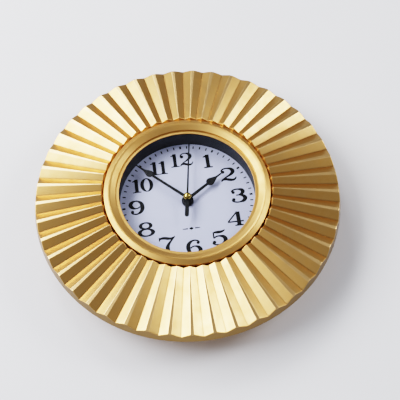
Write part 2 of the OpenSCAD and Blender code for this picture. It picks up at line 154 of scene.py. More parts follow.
finishLooks = {
    # satin gold lacquer sprayed over moulded ABS: broad soft highlights, faint mottling and flake
    "satinGoldLacquer": {
        "colour": "#D4A76A", "patch": "#CA9A5C", "patchMm": 9.0, "grainMm": 0.7, "grainDepthMm": 0.012,
        "rough": (0.28, 0.35), "shader": {"Metallic": 1.0}},
    # the same lacquer over the smoother bezel: tighter highlights that run round the ring
    "smoothGoldLacquer": {
        "colour": "#CA9D61", "patch": "#BF9156", "patchMm": 12.0, "grainMm": 0.6, "grainDepthMm": 0.003,
        "rough": (0.39, 0.46), "shader": {"Metallic": 1.0}},
    # champagne overspray on the ledge over the lens: paler and flatter than the bezel
    "champagneOverspray": {
        "colour": "#C9B79A", "patch": "#B5A284", "patchMm": 3.0, "grainMm": 0.5, "grainDepthMm": 0.01,
        "rough": (0.42, 0.55), "shader": {"Metallic": 0.6}},
    # black polystyrene with a dull mould face: the well stays dark even where the dial lights it
    "dullBlackPolystyrene": {
        "colour": "#0D0D0E", "patch": "#131315", "patchMm": 7.0, "grainMm": 0.5, "grainDepthMm": 0.01,
        "rough": (0.45, 0.56)},
    # satin black ABS, moulded smooth: grey sheen at a glance, nearly black face on
    "satinBlackAbs": {
        "colour": "#232326", "patch": "#2B2B2F", "patchMm": 7.0, "grainMm": 0.5, "grainDepthMm": 0.01,
        "rough": (0.36, 0.46)},
    # black polypropylene from an eroded mould: leathery fine grain, dull and slightly patchy
    "grainedBlackPolypropylene": {
        "colour": "#2E2E31", "patch": "#393A3D", "patchMm": 11.0, "grainMm": 0.9, "grainDepthMm": 0.05,
        "rough": (0.50, 0.66)},
    # printed sheet aluminium, painted bluish white: even, with a breath of roller texture
    "paintedDialSheet": {
        "colour": "#CACDE9", "patch": "#C5C9E5", "patchMm": 16.0, "grainMm": 0.8, "grainDepthMm": 0.006,
        "rough": (0.42, 0.50)},
    # screen-printed black ink: solid, a little glossier than the paint round it
    "screenPrintInk": {
        "colour": "#060609", "patch": "#0B0B10", "patchMm": 2.0, "grainMm": 0.4, "grainDepthMm": 0.004,
        "rough": (0.45, 0.55), "shader": {"Specular IOR Level": 0.2}},
    # stoved black enamel on stamped aluminium: semi-gloss, fine orange peel
    "stovedBlackEnamel": {
        "colour": "#050506", "patch": "#0A0A0C", "patchMm": 5.0, "grainMm": 0.8, "grainDepthMm": 0.01,
        "rough": (0.34, 0.44),
        "shader": {"Specular IOR Level": 0.3, "Coat Weight": 0.08, "Coat Roughness": 0.15}},
    # turned and polished brass: small sharp highlights, thin tarnish in patches
    "polishedBrass": {
        "colour": "#E3C36C", "patch": "#C9A44E", "patchMm": 1.6, "grainMm": 0.3, "grainDepthMm": 0.003,
        "rough": (0.10, 0.20), "shader": {"Metallic": 1.0}},
    # bright zinc plate: bluish steel with a faint haze
    "brightZincPlate": {
        "colour": "#C9CCCF", "patch": "#AEB2B4", "patchMm": 1.2, "grainMm": 0.3, "grainDepthMm": 0.006,
        "rough": (0.24, 0.38), "shader": {"Metallic": 1.0}},
    # nickel-plated spring strip, rolled: straight fine lines along the strip
    "rolledNickelStrip": {
        "colour": "#D3CFC6", "patch": "#BAB5AB", "patchMm": 2.0, "grainMm": 0.4, "grainDepthMm": 0.008,
        "rough": (0.22, 0.34), "stretch": (1.0, 1.0, 0.12), "shader": {"Metallic": 1.0}},
    # soft rubber, moulded: matt, dusty black
    "mouldedRubber": {
        "colour": "#151515", "patch": "#222222", "patchMm": 3.0, "grainMm": 0.4, "grainDepthMm": 0.03,
        "rough": (0.78, 0.9)},
    # shrink sleeve on a dry cell: slick printed film
    "printedShrinkSleeve": {
        "colour": "#31343C", "patch": "#3A3E47", "patchMm": 6.0, "grainMm": 1.2, "grainDepthMm": 0.02,
        "rough": (0.22, 0.32), "shader": {"Coat Weight": 0.4, "Coat Roughness": 0.1}},
    # pale band printed on the sleeve: the same film in light grey
    "paleSleeveBand": {
        "colour": "#B9BEC6", "patch": "#ADB2BB", "patchMm": 6.0, "grainMm": 1.2, "grainDepthMm": 0.02,
        "rough": (0.22, 0.32), "shader": {"Coat Weight": 0.4, "Coat Roughness": 0.1}},
    # solder mask over laminate: glossy green with the weave just showing
    "greenSolderMask": {
        "colour": "#1F6B43", "patch": "#175634", "patchMm": 1.5, "grainMm": 0.5, "grainDepthMm": 0.01,
        "rough": (0.25, 0.4)},
    # black resin drop over the chip: glossy, slumped
    "resinDrop": {
        "colour": "#0D0D0D", "patch": "#161514", "patchMm": 1.5, "grainMm": 0.8, "grainDepthMm": 0.02,
        "rough": (0.12, 0.22)},
    # drawn nickel can: bright, with lines along its length
    "drawnNickelCan": {
        "colour": "#D8D5CD", "patch": "#C2BEB4", "patchMm": 1.0, "grainMm": 0.3, "grainDepthMm": 0.005,
        "rough": (0.18, 0.3), "stretch": (0.15, 1.0, 1.0), "shader": {"Metallic": 1.0}},
    # natural acetal: milky white, waxy, light passes a little way in
    "naturalAcetal": {
        "colour": "#D9D4C2", "patch": "#CEC8B4", "patchMm": 2.0, "grainMm": 0.3, "grainDepthMm": 0.005,
        "rough": (0.30, 0.42), "shader": {"Subsurface Weight": 0.15, "Subsurface Scale": 0.0006}},
    # annealed soft iron sheet: grey, dull, stamped
    "annealedIron": {
        "colour": "#9D9C98", "patch": "#86847F", "patchMm": 2.5, "grainMm": 0.4, "grainDepthMm": 0.01,
        "rough": (0.38, 0.5), "shader": {"Metallic": 1.0}},
    # sintered ferrite: charcoal, granular
    "sinteredFerrite": {
        "colour": "#3A3A3D", "patch": "#2C2C2F", "patchMm": 0.8, "grainMm": 0.25, "grainDepthMm": 0.02,
        "rough": (0.5, 0.65)},
    # pale seamless paper of the studio: almost flat, very fine tooth
    "seamlessPaper": {
        "colour": "#DEDFE4", "patch": "#DADBE1", "patchMm": 260.0, "grainMm": 1.5, "grainDepthMm": 0.02,
        "rough": (0.85, 0.95)},
}
finishes = {name: makeFinish(name, look) for name, look in finishLooks.items()}

# The folds carry an attribute from 0 in a valley to 1 on a ridge, and -1 on the rim's wall: the colour paints
# shade into the valleys, a highlight along the ridges, and a browner shade on the rim's wall.
foldPaintedLight = {
    "valleyShadeColour": "#8C6C48",
    "valleyReach": 0.16,
    "valleyShare": 0.55,
    "ridgeHighlightColour": "#ECC690",
    "ridgeReach": 0.9,
    "ridgeShare": 0.5,
    "rimShadeColour": "#7A6138",
    "rimShare": 0.85,
}
tree = finishes["satinGoldLacquer"].node_tree
shader = tree.nodes["Principled BSDF"]
plainTone = shader.inputs["Base Color"].links[0].from_socket
foldHeight = addNode(tree, "ShaderNodeAttribute", attribute_name="foldHeight").outputs["Fac"]
# painted shade: the base colour darkens towards the bottom of each valley
inValley = addNode(tree, "ShaderNodeMapRange", {
    "Value": foldHeight, "From Min": 0.0, "From Max": foldPaintedLight["valleyReach"],
    "To Min": foldPaintedLight["valleyShare"], "To Max": 0.0})
valleyShaded = addNode(tree, "ShaderNodeMix", {
    0: inValley.outputs[0], 6: plainTone, 7: toLinear(foldPaintedLight["valleyShadeColour"])}, data_type="RGBA")
# painted highlight: the base colour lightens along each ridge
onRidge = addNode(tree, "ShaderNodeMapRange", {
    "Value": foldHeight, "From Min": foldPaintedLight["ridgeReach"], "From Max": 1.0,
    "To Min": 0.0, "To Max": foldPaintedLight["ridgeShare"]})
ridgeHighlighted = addNode(tree, "ShaderNodeMix", {
    0: onRidge.outputs[0], 6: valleyShaded.outputs[2], 7: toLinear(foldPaintedLight["ridgeHighlightColour"])}, data_type="RGBA")
# painted shade: the rim's wall is browned
atRim = addNode(tree, "ShaderNodeMapRange", {
    "Value": foldHeight, "From Min": -1.0, "From Max": -0.1, "To Min": foldPaintedLight["rimShare"], "To Max": 0.0})
rimShaded = addNode(tree, "ShaderNodeMix", {
    0: atRim.outputs[0], 6: ridgeHighlighted.outputs[2], 7: toLinear(foldPaintedLight["rimShadeColour"])}, data_type="RGBA")
tree.links.new(rimShaded.outputs[2], shader.inputs["Base Color"])

# Clear moulded polystyrene: it only adds a thin reflection, stronger where it is seen at a slant.
lensLook = {"tint": "#FCFDFE", "glossRoughness": 0.03, "ior": 1.22, "smearMm": 30.0}
lensFinish = bpy.data.materials.new("clearPolystyrene")
lensFinish.use_nodes = True
tree = lensFinish.node_tree
tree.nodes.remove(tree.nodes["Principled BSDF"])
place = addNode(tree, "ShaderNodeTexCoord").outputs["Object"]
smear = addNode(tree, "ShaderNodeTexNoise", {
    "Vector": place, "Scale": 1 / (lensLook["smearMm"] * mm), "Detail": 2.0})
haze = addNode(tree, "ShaderNodeMapRange", {
    "Value": smear.outputs[0], "From Min": 0.35, "From Max": 0.65,
    "To Min": lensLook["glossRoughness"], "To Max": lensLook["glossRoughness"] * 3})
clear = addNode(tree, "ShaderNodeBsdfTransparent", {"Color": toLinear(lensLook["tint"])})
glossy = addNode(tree, "ShaderNodeBsdfGlossy", {"Color": toLinear("#FFFFFF"), "Roughness": haze.outputs[0]})
fresnel = addNode(tree, "ShaderNodeFresnel", {"IOR": lensLook["ior"]})
mixed = addNode(tree, "ShaderNodeMixShader", {
    0: fresnel.outputs[0], 1: clear.outputs[0], 2: glossy.outputs[0]})
tree.links.new(mixed.outputs[0], tree.nodes["Material Output"].inputs["Surface"])
finishes["clearPolystyrene"] = lensFinish
print("finishes made:", len(finishes))

# Studio: seamless paper behind the clock, which is clear from its back so that the rear can be seen.
studio = {"paperSize": 6.0, "paperGap": 0.0004, "worldColour": "#E9EBF0", "worldStrength": 0.3}
paperMesh = bpy.data.meshes.new("paper")
half = studio["paperSize"] / 2
paperY = cadBox[1].y + studio["paperGap"]
paperMesh.from_pydata(
    [(-half, paperY, -half), (half, paperY, -half), (half, paperY, half), (-half, paperY, half)],
    [], [(0, 1, 2, 3)])
paper = bpy.data.objects.new("paper", paperMesh)
bpy.context.scene.collection.objects.link(paper)
paperMesh.materials.append(finishes["seamlessPaper"])
paper.visible_shadow = False  # lets the rear boxes light the back of the clock
tree = finishes["seamlessPaper"].node_tree
behind = addNode(tree, "ShaderNodeNewGeometry").outputs["Backfacing"]
through = addNode(tree, "ShaderNodeBsdfTransparent")
oneSided = addNode(tree, "ShaderNodeMixShader", {
    0: behind, 1: tree.nodes["Principled BSDF"].outputs[0], 2: through.outputs[0]})
tree.links.new(oneSided.outputs[0], tree.nodes["Material Output"].inputs["Surface"])

world = bpy.data.worlds.new("studioWorld")
bpy.context.scene.world = world
world.use_nodes = True
world.node_tree.nodes["Background"].inputs["Color"].default_value = toLinear(studio["worldColour"])
world.node_tree.nodes["Background"].inputs["Strength"].default_value = studio["worldStrength"]

# Softboxes, each placed by its direction from the dial: x right, y towards the wall, z up.
softboxes = {
    "leftSoftbox": {"way": (-0.70, -0.68, 0.24), "far": 1.5, "size": (1.0, 1.3), "watts": 36.0},
    "rightSoftbox": {"way": (0.80, -0.62, 0.15), "far": 1.6, "size": (0.6, 0.55), "watts": 9.5},
    "topSoftbox": {"way": (-0.25, -0.75, 0.75), "far": 1.7, "size": (0.5, 0.5), "watts": 9.0},
    "rearFill": {"way": (0.4, 1.0, 0.5), "far": 1.8, "size": (1.4, 1.4), "watts": 13.0},
    "rearEdge": {"way": (-0.95, 0.62, 0.35), "far": 1.5, "size": (0.5, 0.9), "watts": 5.0},
}
for name, box in softboxes.items():
    lamp = bpy.data.lights.new(name, "AREA")
    lamp.shape = "RECTANGLE"
    lamp.size, lamp.size_y = box["size"]
    lamp.energy = box["watts"]
    holder = bpy.data.objects.new(name, lamp)
    bpy.context.scene.collection.objects.link(holder)
    way = Vector(box["way"]).normalized()
    holder.location = dialMiddle + way * box["far"]
    holder.rotation_euler = way.to_track_quat("Z", "Y").to_euler()
print("studio lit")


# Rounds the corners (x, y, radius) of a closed outline. Two points just past each round
# keep the flats beside it flat when the shading is smooth.
def roundOff(corners, steps=3):
    outline = []
    for i, (x, y, radius) in enumerate(corners):
        corner = Vector((x, y))
        back = Vector(corners[i - 1][:2]) - corner
        ahead = Vector(corners[(i + 1) % len(corners)][:2]) - corner
        if radius == 0:
            outline.append((x, y))
            continue
        cut = min(radius / math.tan(max(back.angle(ahead), 0.2) / 2), 0.4 * back.length, 0.4 * ahead.length)
        back.normalize()
        ahead.normalize()
        outline.append(tuple(corner + back * cut * 1.2))
        for k in range(steps + 1):
            t = k / steps
            outline.append(tuple(corner + back * cut * (1 - t) ** 2 + ahead * cut * t ** 2))
        outline.append(tuple(corner + ahead * cut * 1.2))
    return outline


# Turns a closed outline (radius, height) about z. finishOf gives the finish of each point's strip.
def turnOutline(shape, outline, steps, place=Matrix.Identity(4), finishOf=None):
    rings = []
    for k in range(steps):
        a = 2 * math.pi * k / steps
        rings.append([shape.verts.new(place @ Vector((r * math.cos(a), r * math.sin(a), z)))
                      for r, z in outline])
    for k in range(steps):
        near, far = rings[k], rings[(k + 1) % steps]
        for j in range(len(outline)):
            n = (j + 1) % len(outline)
            if outline[j][0] < 1e-6 and outline[n][0] < 1e-6:
                continue
            face = shape.faces.new((near[j], near[n], far[n], far[j]))
            face.material_index = finishOf(*outline[j]) if finishOf else 0


# Smooth shading with a crease at every edge sharper than the angle.
def smoothShade(mesh, softAngle):
    for face in mesh.polygons:
        face.use_smooth = True
    mesh.set_sharp_from_angle(angle=math.radians(softAngle))


# The plain mesh that an object's modifiers give; the modifiers are then taken off.
def bakeModifiers(maker):
    bpy.context.view_layer.update()
    mesh = bpy.data.meshes.new_from_object(maker.evaluated_get(bpy.context.evaluated_depsgraph_get()))
    maker.modifiers.clear()
    return mesh


# Makes a plain mesh an object of the clock: placed, shaded, dressed, riding on its body.
def keepMesh(name, mesh, place, dress, body, replaces=(), softAngle=32):
    mesh.transform(place)
    smoothShade(mesh, softAngle)
    if dress:
        mesh.materials.clear()
        for finish in dress:
            mesh.materials.append(finishes[finish])
    piece = bpy.data.objects.new(name, mesh)
    bpy.context.scene.collection.objects.link(piece)
    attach(piece, body)
    for node in replaces:
        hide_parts(node)
    return piece


def keepShape(name, shape, dress, body, replaces=(), place=clockPlace, softAngle=32):
    bmesh.ops.remove_doubles(shape, verts=shape.verts, dist=1e-4)
    bmesh.ops.recalc_face_normals(shape, faces=shape.faces)
    mesh = bpy.data.meshes.new(name)
    shape.to_mesh(mesh)
    shape.free()
    return keepMesh(name, mesh, place, dress, body, replaces, softAngle)


# Geometry Nodes: copies of one mesh round the hands' axis, joined where they touch.
# Every so many copies may be an accent, which is wider and longer than the rest.
ringInputs = {
    "Count": ("NodeSocketInt", 12),
    "Turn": ("NodeSocketFloat", 0.0),
    "Accent every": ("NodeSocketInt", 1),
    "Accent width": ("NodeSocketFloat", 1.0),
    "Merge distance": ("NodeSocketFloat", 0.001),
    "Finish": ("NodeSocketMaterial", None),
}
ringTree = bpy.data.node_groups.new("ringOfCopies", "GeometryNodeTree")
ringTree.interface.new_socket("Geometry", in_out="INPUT", socket_type="NodeSocketGeometry")
for label, (kind, default) in ringInputs.items():
    socket = ringTree.interface.new_socket(label, in_out="INPUT", socket_type=kind)
    if default is not None:
        socket.default_value = default
ringTree.interface.new_socket("Geometry", in_out="OUTPUT", socket_type="NodeSocketGeometry")
given = addNode(ringTree, "NodeGroupInput").outputs
points = addNode(ringTree, "GeometryNodePoints", {"Count": given["Count"]})
index = addNode(ringTree, "GeometryNodeInputIndex").outputs[0]
step = addNode(ringTree, "ShaderNodeMath", {0: 2 * math.pi, 1: given["Count"]}, operation="DIVIDE")
swing = addNode(ringTree, "ShaderNodeMath", {
    0: index, 1: step.outputs[0], 2: given["Turn"]}, operation="MULTIPLY_ADD")
heading = addNode(ringTree, "ShaderNodeCombineXYZ", {"Z": swing.outputs[0]})
facing = addNode(ringTree, "FunctionNodeEulerToRotation", {0: heading.outputs[0]})
beat = addNode(ringTree, "ShaderNodeMath", {0: index, 1: given["Accent every"]}, operation="MODULO")
isAccent = addNode(ringTree, "FunctionNodeCompare", {0: beat.outputs[0], 1: 0.5}, operation="LESS_THAN")
width = addNode(ringTree, "GeometryNodeSwitch", {
    "Switch": isAccent.outputs[0], "False": 1.0, "True": given["Accent width"]}, input_type="FLOAT")
stretch = addNode(ringTree, "ShaderNodeCombineXYZ", {"X": width.outputs[0], "Y": 1.0, "Z": 1.0})
copies = addNode(ringTree, "GeometryNodeInstanceOnPoints", {
    "Points": points.outputs[0], "Instance": given["Geometry"],
    "Rotation": facing.outputs[0], "Scale": stretch.outputs[0]})
real = addNode(ringTree, "GeometryNodeRealizeInstances", {"Geometry": copies.outputs[0]})
joined = addNode(ringTree, "GeometryNodeMergeByDistance", {
    "Geometry": real.outputs[0], "Distance": given["Merge distance"]})
dressed = addNode(ringTree, "GeometryNodeSetMaterial", {
    "Geometry": joined.outputs[0], "Material": given["Finish"]})
addNode(ringTree, "NodeGroupOutput", {0: dressed.outputs[0]})


# Runs a tree on a seed mesh and gives back the plain mesh.
def growMesh(name, seed, growTree, values):
    maker = bpy.data.objects.new(name + "Maker", seed)
    bpy.context.scene.collection.objects.link(maker)
    rule = maker.modifiers.new("rule", "NODES")
    rule.node_group = growTree
    for item in growTree.interface.items_tree:
        if item.in_out == "INPUT" and item.name in values:
            rule[item.identifier] = values[item.name]
    mesh = bakeModifiers(maker)
    mesh.name = name
    bpy.data.objects.remove(maker)
    return mesh


# Sunburst frame: one fold from valley to valley over its ridge, repeated round the dial.
sunburst = {
    "folds": 45,
    "turnDeg": 1.2,
    "innerRadius": 69.3,
    "innerRidge": 21.8,
    "innerValley": 18.7,
    "outerRidge": 15.3,
    "outerValley": 11.9,
    "rimFoot": 5.9,
    "rimDraft": 0.2,
    "rimWall": 2.0,
    "wall": 1.8,
    "underDrop": 2.4,
    "collarInset": 1.3,
    "collarClear": 1.0,
    "collarDrop": 1.9,
    "collarFoot": -0.5,
    "innerStripe": 0.25,
    "outerStripe": 2.7,
    "ridgeRound": 0.28,
    "valleyRound": 0.30,
    "rimRound": 0.55,
    "edgeRound": 0.35,
    "bossReach": 76.0,
    "bossRadius": 3.2,
    "bossBore": 1.46,
    "bossRise": 1.7,
    "bosses": 4,
    "bossSteps": 32,
}


# Half of a fold's cross-section at one end: (sideways, height, how far up the fold).
def foldCrossing(stripe, ridge, halfSpan, valley):
    drop = math.atan2(ridge - valley, halfSpan - stripe / 2)
    edge = stripe / 2
    crest = min(sunburst["ridgeRound"] * math.tan(drop / 2) + 0.05, 0.9 * edge)
    dip = sunburst["valleyRound"] * math.tan(drop / 2) + 0.1
    length = math.hypot(ridge - valley, halfSpan - edge)

    def run(t):
        return edge + t * math.cos(drop), ridge - t * math.sin(drop)

    marks = [(0.0, ridge), (edge - crest * 1.3, ridge), (edge - crest, ridge),
             (edge - crest * 0.25, ridge - crest * 0.25 * math.tan(drop / 2)),
             run(crest), run(crest * 1.6 + 0.05), run(length * 0.5), run(length - dip * 1.7),
             run(length - dip), (halfSpan - dip * 0.3, valley + dip * 0.12 * math.sin(drop)),
             (halfSpan, valley + dip * 0.3 * math.sin(drop))]
    return [(x, z, (z - valley) / (ridge - valley)) for x, z in marks]


def foldOutline(inZ, outZ):
    s = sunburst
    rim = reach("sunburst_frame")
    outR = rim - s["rimDraft"] * (outZ - s["rimFoot"])
    slope = (outZ - inZ) / (outR - s["innerRadius"])
    rimIn = rim - s["rimWall"]
    collarR = s["innerRadius"] - s["collarInset"]
    inR = collarR + s["wall"] + s["collarClear"]
    return roundOff([
        (s["innerRadius"], inZ, s["edgeRound"]),
        (outR, outZ, s["rimRound"]),
        (rim, s["rimFoot"], 0.4),
        (rimIn, s["rimFoot"], 0.4),
        (rimIn, outZ + slope * (rimIn - outR) - s["underDrop"], 0.6),
        (inR, inZ + slope * s["wall"] - s["wall"] - 0.4, 0.5),
        (inR, s["collarFoot"], 0.2),
        (collarR, s["collarFoot"], 0.2),
        (collarR, inZ - s["collarDrop"], 0.5),
    ])


foldAngle = math.pi / sunburst["folds"]
rimR = reach("sunburst_frame")
outerR = rimR - sunburst["rimDraft"] * (sunburst["outerValley"] - sunburst["rimFoot"])
inner = foldCrossing(sunburst["innerStripe"], sunburst["innerRidge"],
                     sunburst["innerRadius"] * math.sin(foldAngle), sunburst["innerValley"])
outer = foldCrossing(sunburst["outerStripe"], sunburst["outerRidge"],
                     outerR * math.sin(foldAngle), sunburst["outerValley"])
fold = bmesh.new()
heightLayer = fold.verts.layers.float.new("foldHeight")
columns = []
halves = list(zip(inner, outer))
for side, crossing in [(-1, c) for c in reversed(halves[1:])] + [(1, c) for c in halves]:
    (inX, inZ, _), (outX, outZ, outUp) = crossing
    column = []
    for r, z in foldOutline(inZ, outZ):
        along = (r - sunburst["innerRadius"]) / (outerR - sunburst["innerRadius"])
        x = inX + (outX - inX) * along
        if crossing is halves[-1]:
            x = r * math.sin(foldAngle)
        vert = fold.verts.new((side * x, math.sqrt(r * r - x * x), z))
        vert[heightLayer] = -1.0 if r > rimR - sunburst["rimWall"] - 0.1 and z < outZ - 0.45 else outUp
        column.append(vert)
    columns.append(column)
for left, right in zip(columns, columns[1:]):
    for j in range(len(left)):
        n = (j + 1) % len(left)
        fold.faces.new((left[j], left[n], right[n], right[j]))
foldMesh = bpy.data.meshes.new("fold")
fold.to_mesh(foldMesh)
fold.free()
burstMesh = growMesh("sunburstFolds", foldMesh, ringTree, {
    "Count": sunburst["folds"], "Turn": -math.radians(sunburst["turnDeg"]), "Accent every": 1,
    "Accent width": 1.0, "Merge distance": 0.001, "Finish": finishes["satinGoldLacquer"]})

burst = bmesh.new()
burst.from_mesh(burstMesh)
bossFoot, bossTop = sunburst["collarFoot"], sunburst["outerRidge"] + sunburst["bossRise"]
for k in range(sunburst["bosses"]):
    a = math.radians(45 + 360 / sunburst["bosses"] * k)
    seat = Matrix.Translation((sunburst["bossReach"] * math.cos(a), sunburst["bossReach"] * math.sin(a), 0))
    turnOutline(burst, roundOff([
        (sunburst["bossBore"], bossFoot, 0.2), (sunburst["bossRadius"], bossFoot, 0.3),
        (sunburst["bossRadius"], bossTop, 0.2), (sunburst["bossBore"], bossTop, 0.2)]),
        sunburst["bossSteps"], seat)
keepShape("sunburstFrame", burst, ["satinGoldLacquer"], "clock",
          ["sunburst_frame"], softAngle=28)
print("sunburst frame folded:", sunburst["folds"])

# Bezel: a turned ring with a hairline groove on its crest and a narrow ledge over the lens, hollow behind.
bezel = {
    "foot": -0.5,
    "wall": 1.8,
    "crestRadius": 63.5,
    "crestLevel": 22.2,
    "crestInset": 1.7,
    "crestDip": 0.5,
    "openRadius": 57.8,
    "openLevel": 19.6,
    "lipDrop": 2.0,
    "lipUnder": 2.0,
    "ledgeRadius": 55.2,
    "ledgeLevel": 18.2,
    "groove": 0.3,
    "grooveDepth": 0.3,
    "lensGap": 0.1,
    "crestUnder": 2.4,
    "hollowOut": 0.8,
    "hollowIn": 1.4,
    "sleeveWall": 1.8,
    "sleeveGap": 0.2,
    "sleeveFoot": 12.6,
    "steps": 180,
}
lensFoot, lensTop = levels("lens")
outR, lensR = reach("bezel_ring"), reach("lens")
crestR, crestZ = bezel["crestRadius"], bezel["crestLevel"]
openR, openZ = bezel["openRadius"], bezel["openLevel"]
sleeveOut, sleeveIn = lensR + bezel["sleeveWall"], lensR + bezel["sleeveGap"]
ring = bmesh.new()
lipZ = crestZ - bezel["lipDrop"]
turnOutline(ring, roundOff([
    (bezel["ledgeRadius"], lensTop + bezel["lensGap"], 0.1),
    (bezel["ledgeRadius"], bezel["ledgeLevel"], 0.2),
    (openR, bezel["ledgeLevel"], 0.2),
    (openR, openZ, 0.55),
    (crestR - bezel["crestInset"], crestZ - bezel["crestDip"], 1.3),
    (crestR - bezel["groove"], crestZ - 0.02, 0.12),
    (crestR, crestZ - bezel["grooveDepth"], 0.1),
    (crestR + bezel["groove"], crestZ - 0.1, 0.12),
    (outR, lipZ, 0.55),
    (outR, bezel["foot"], 0.2),
    (outR - bezel["wall"], bezel["foot"], 0.2),
    (outR - bezel["wall"], lipZ - bezel["lipUnder"], 0.8),
    (crestR + bezel["hollowOut"], crestZ - bezel["crestUnder"], 0.6),
    (crestR - bezel["hollowIn"], crestZ - bezel["crestUnder"], 0.8),
    (sleeveOut, lensFoot + 1.0, 0.6),
    (sleeveOut, bezel["sleeveFoot"], 0.2),
    (sleeveIn, bezel["sleeveFoot"], 0.2),
    (sleeveIn, lensTop + bezel["lensGap"], 0.1),
], steps=4), bezel["steps"],
    finishOf=lambda r, z: 1 if r < openR - 0.3 and z < bezel["ledgeLevel"] + 0.01 else 0)
keepShape("bezelRing", ring, ["smoothGoldLacquer", "champagneOverspray"], "clock",
          ["bezel_ring"], softAngle=40)

glass = bmesh.new()
turnOutline(glass, roundOff([
    (0, lensFoot, 0), (lensR, lensFoot, 0.2), (lensR, lensTop, 0.25), (0, lensTop, 0)], steps=2), 144)
keepShape("frontLens", glass, ["clearPolystyrene"], "clock", ["lens"])

# Spacer: the black wall of the well, between the dial and the lens.
spacer = {"innerRadius": 56.0, "landRound": 0.3}
wellOut, (wellFoot, wellTop) = reach("spacer_ring"), levels("spacer_ring")
well = bmesh.new()
turnOutline(well, roundOff([
    (spacer["innerRadius"], wellFoot, 0.1), (wellOut, wellFoot, 0.1),
    (wellOut, wellTop, spacer["landRound"]), (spacer["innerRadius"], wellTop, spacer["landRound"])]),
    160)
keepShape("spacerRing", well, ["dullBlackPolystyrene"], "clock", ["spacer_ring"])
print("bezel, lens and spacer turned")

# Printed numerals, drawn with a broad pen. A stroke is (x, y, pen width) in parts of the height;
# a dot is (x, y, radius); a bowl is an upright ring (x, y, half width, half height, thick, thin).
numerals = {
    "height": 13.0,
    "ring": 42.4,
    "pairRing": 40.9,
    "inkMm": 0.03,
    "inkStepMm": 0.001,
    "penSteps": 6,
    "penScale": 1.12,
    "penExtra": {1: 0.035, 2: 0.01},
    "singleWidth": 1.24,
    "narrowWidth": 1.10,
    "pairWidth": 1.05,
}
digitForms = {
    "0": {"advance": 0.78, "bowls": [(0.38, 0.5, 0.285, 0.47, 0.20, 0.055)]},
    "1": {"advance": 0.53, "strokes": [
        [(0.28, 0.0, 0.19), (0.28, 0.99, 0.19)],
        [(0.34, 0.97, 0.05), (0.20, 0.88, 0.08), (0.03, 0.83, 0.035)],
        [(0.28, 0.05, 0.36), (0.28, 0.10, 0.19)],
        [(0.02, 0.025, 0.05), (0.54, 0.025, 0.05)]]},
    "2": {"advance": 0.92, "dots": [(0.20, 0.715, 0.10)], "strokes": [
        [(0.115, 0.74, 0.05), (0.15, 0.86, 0.06), (0.28, 0.955, 0.06), (0.46, 0.965, 0.07),
         (0.63, 0.90, 0.15),
         (0.72, 0.74, 0.21), (0.66, 0.57, 0.16), (0.50, 0.42, 0.09), (0.28, 0.27, 0.055), (0.13, 0.14, 0.05),
         (0.07, 0.02, 0.05)],
        [(0.07, 0.03, 0.03), (0.17, 0.14, 0.09), (0.32, 0.16, 0.13), (0.50, 0.10, 0.15), (0.66, 0.07, 0.12),
         (0.79, 0.13, 0.07), (0.86, 0.27, 0.03)]]},
    "3": {"advance": 0.9, "dots": [(0.20, 0.755, 0.095), (0.175, 0.235, 0.10)], "strokes": [
        [(0.115, 0.78, 0.05), (0.16, 0.89, 0.06), (0.30, 0.965, 0.06), (0.47, 0.965, 0.07),
         (0.65, 0.89, 0.17),
         (0.70, 0.76, 0.20), (0.62, 0.62, 0.14), (0.46, 0.545, 0.05), (0.33, 0.535, 0.045)],
        [(0.33, 0.535, 0.045), (0.52, 0.53, 0.06), (0.70, 0.44, 0.16), (0.77, 0.28, 0.21), (0.68, 0.11, 0.16),
         (0.48, 0.03, 0.065), (0.30, 0.03, 0.06), (0.14, 0.11, 0.06), (0.09, 0.21, 0.05)]]},
    "4": {"advance": 0.95, "strokes": [
        [(0.61, 0.99, 0.06), (0.33, 0.66, 0.05), (0.03, 0.31, 0.05)],
        [(0.01, 0.295, 0.055), (0.93, 0.295, 0.055)],
        [(0.645, 0.0, 0.20), (0.645, 0.99, 0.20)],
        [(0.645, 0.05, 0.36), (0.645, 0.10, 0.20)],
        [(0.40, 0.025, 0.05), (0.89, 0.025, 0.05)]]},
    "5": {"advance": 0.88, "dots": [(0.17, 0.22, 0.10)], "strokes": [
        [(0.17, 0.88, 0.04), (0.27, 0.90, 0.10), (0.42, 0.90, 0.14), (0.58, 0.91, 0.12), (0.71, 0.97, 0.06),
         (0.77, 1.03, 0.02)],
        [(0.18, 0.93, 0.05), (0.165, 0.50, 0.05)],
        [(0.165, 0.50, 0.05), (0.28, 0.595, 0.06), (0.45, 0.625, 0.07), (0.66, 0.55, 0.17),
         (0.745, 0.34, 0.21),
         (0.66, 0.12, 0.16), (0.45, 0.03, 0.065), (0.28, 0.03, 0.06), (0.13, 0.10, 0.055),
         (0.08, 0.19, 0.05)]]},
    "6": {"advance": 0.88, "dots": [(0.67, 0.785, 0.09)], "strokes": [
        [(0.74, 0.80, 0.05), (0.67, 0.91, 0.06), (0.52, 0.97, 0.06), (0.36, 0.93, 0.09), (0.20, 0.76, 0.17),
         (0.145, 0.50, 0.21), (0.19, 0.22, 0.17), (0.34, 0.06, 0.08), (0.48, 0.03, 0.06), (0.66, 0.10, 0.15),
         (0.745, 0.29, 0.20), (0.66, 0.48, 0.15), (0.50, 0.565, 0.06), (0.36, 0.54, 0.055),
         (0.26, 0.45, 0.05)]]},
    "7": {"advance": 0.9, "strokes": [
        [(0.10, 0.84, 0.03), (0.19, 0.915, 0.10), (0.34, 0.925, 0.14), (0.52, 0.875, 0.14),
         (0.68, 0.86, 0.10),
         (0.82, 0.92, 0.06), (0.88, 1.0, 0.03)],
        [(0.085, 0.74, 0.045), (0.11, 0.99, 0.05)],
        [(0.86, 0.97, 0.05), (0.70, 0.74, 0.07), (0.54, 0.50, 0.12), (0.46, 0.27, 0.19), (0.45, 0.0, 0.23)]]},
    "8": {"advance": 0.96, "bowls": [
        (0.48, 0.755, 0.26, 0.215, 0.17, 0.06), (0.48, 0.275, 0.34, 0.245, 0.20, 0.06)]},
}
